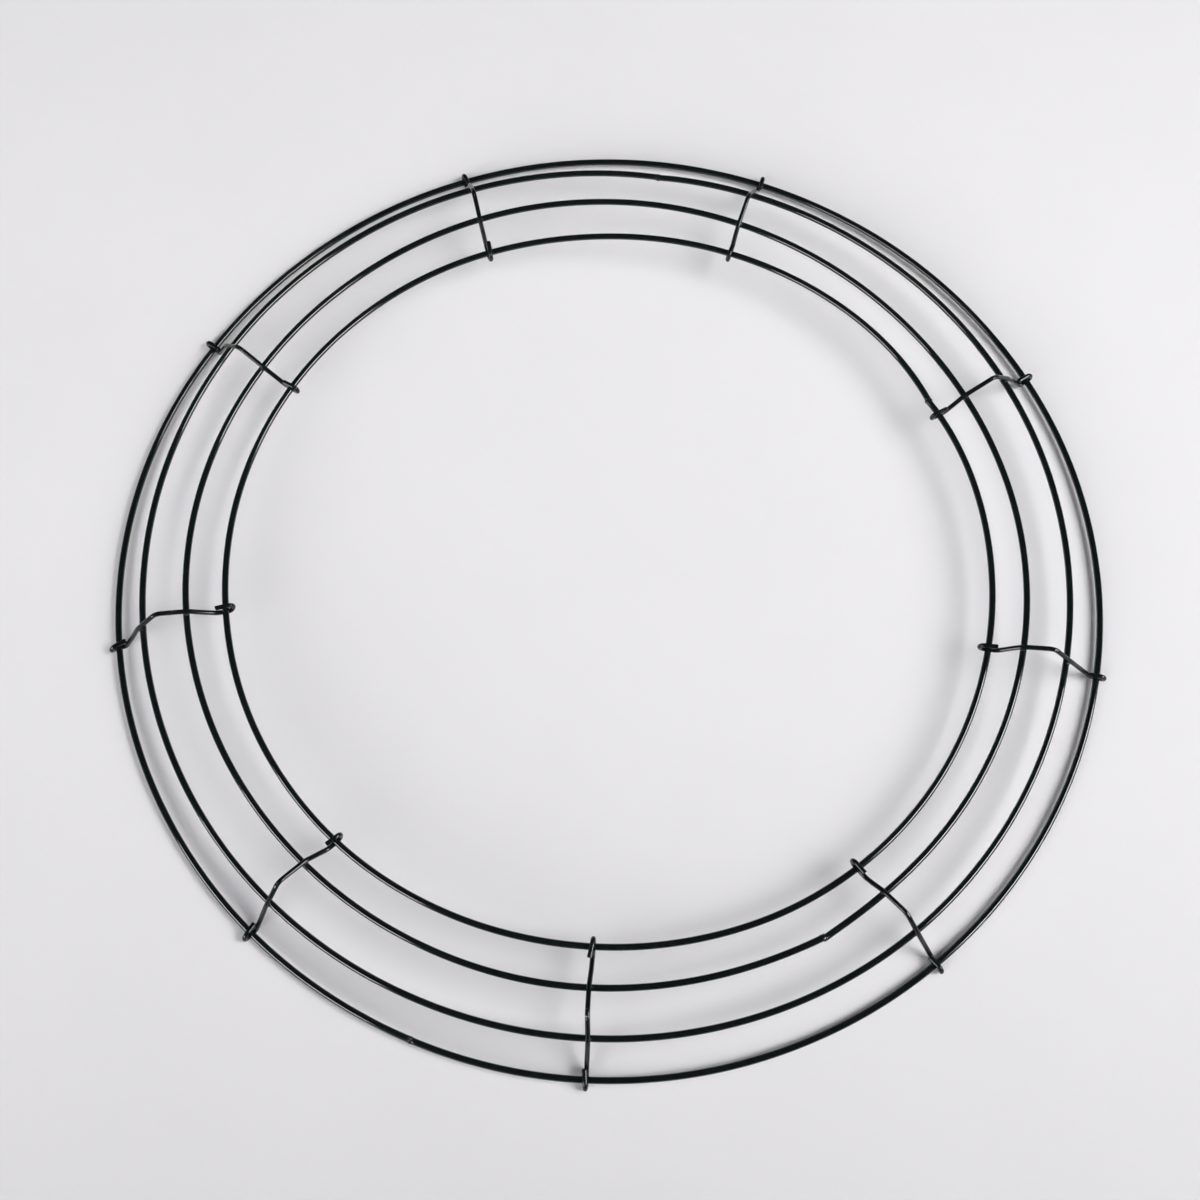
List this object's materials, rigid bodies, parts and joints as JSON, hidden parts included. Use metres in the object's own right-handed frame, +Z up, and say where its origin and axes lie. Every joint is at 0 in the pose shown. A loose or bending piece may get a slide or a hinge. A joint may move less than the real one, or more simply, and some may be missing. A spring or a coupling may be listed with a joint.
{
  "type": "wreath frame",
  "caption": "Dished round frame of coated wire rings, carried on bent cross wires that are hooked over its outer and inner ring, for binding greenery into a wreath.",
  "frame": {"origin": "on the rings' common axis, at the height of the surface that the frame lies on", "axes": "+Z up, out of the raised side of the frame; -Y towards the first cross wire; X to the right of it"},
  "size_m": [0.4572, 0.4596, 0.0288],
  "materials": {
    "ring_wire": "smooth dark green coating, semi-gloss",
    "cross_wire": "smooth dark green coating, semi-gloss, thinner on the bends and the cut ends",
    "weld": "dark green coating, pooled and slightly rough over the weld"
  },
  "bodies": {
    "root": {"ring_outer": "ring_wire", "ring_second": "ring_wire", "ring_third": "ring_wire", "ring_inner": "ring_wire", "ring_joint_outer": "weld", "ring_joint_second": "weld", "ring_joint_third": "weld", "ring_joint_inner": "weld", "cross_wire_1": "cross_wire", "weld_second_1": "weld", "weld_third_1": "weld", "cross_wire_2": "cross_wire", "weld_second_2": "weld", "weld_third_2": "weld", "cross_wire_3": "cross_wire", "weld_second_3": "weld", "weld_third_3": "weld", "cross_wire_4": "cross_wire", "weld_second_4": "weld", "weld_third_4": "weld", "cross_wire_5": "cross_wire", "weld_second_5": "weld", "weld_third_5": "weld", "cross_wire_6": "cross_wire", "weld_second_6": "weld", "weld_third_6": "weld", "cross_wire_7": "cross_wire", "weld_second_7": "weld", "weld_third_7": "weld", "cross_wire_8": "cross_wire", "weld_second_8": "weld", "weld_third_8": "weld", "cross_wire_9": "cross_wire", "weld_second_9": "weld", "weld_third_9": "weld"}
  },
  "joints": []
}
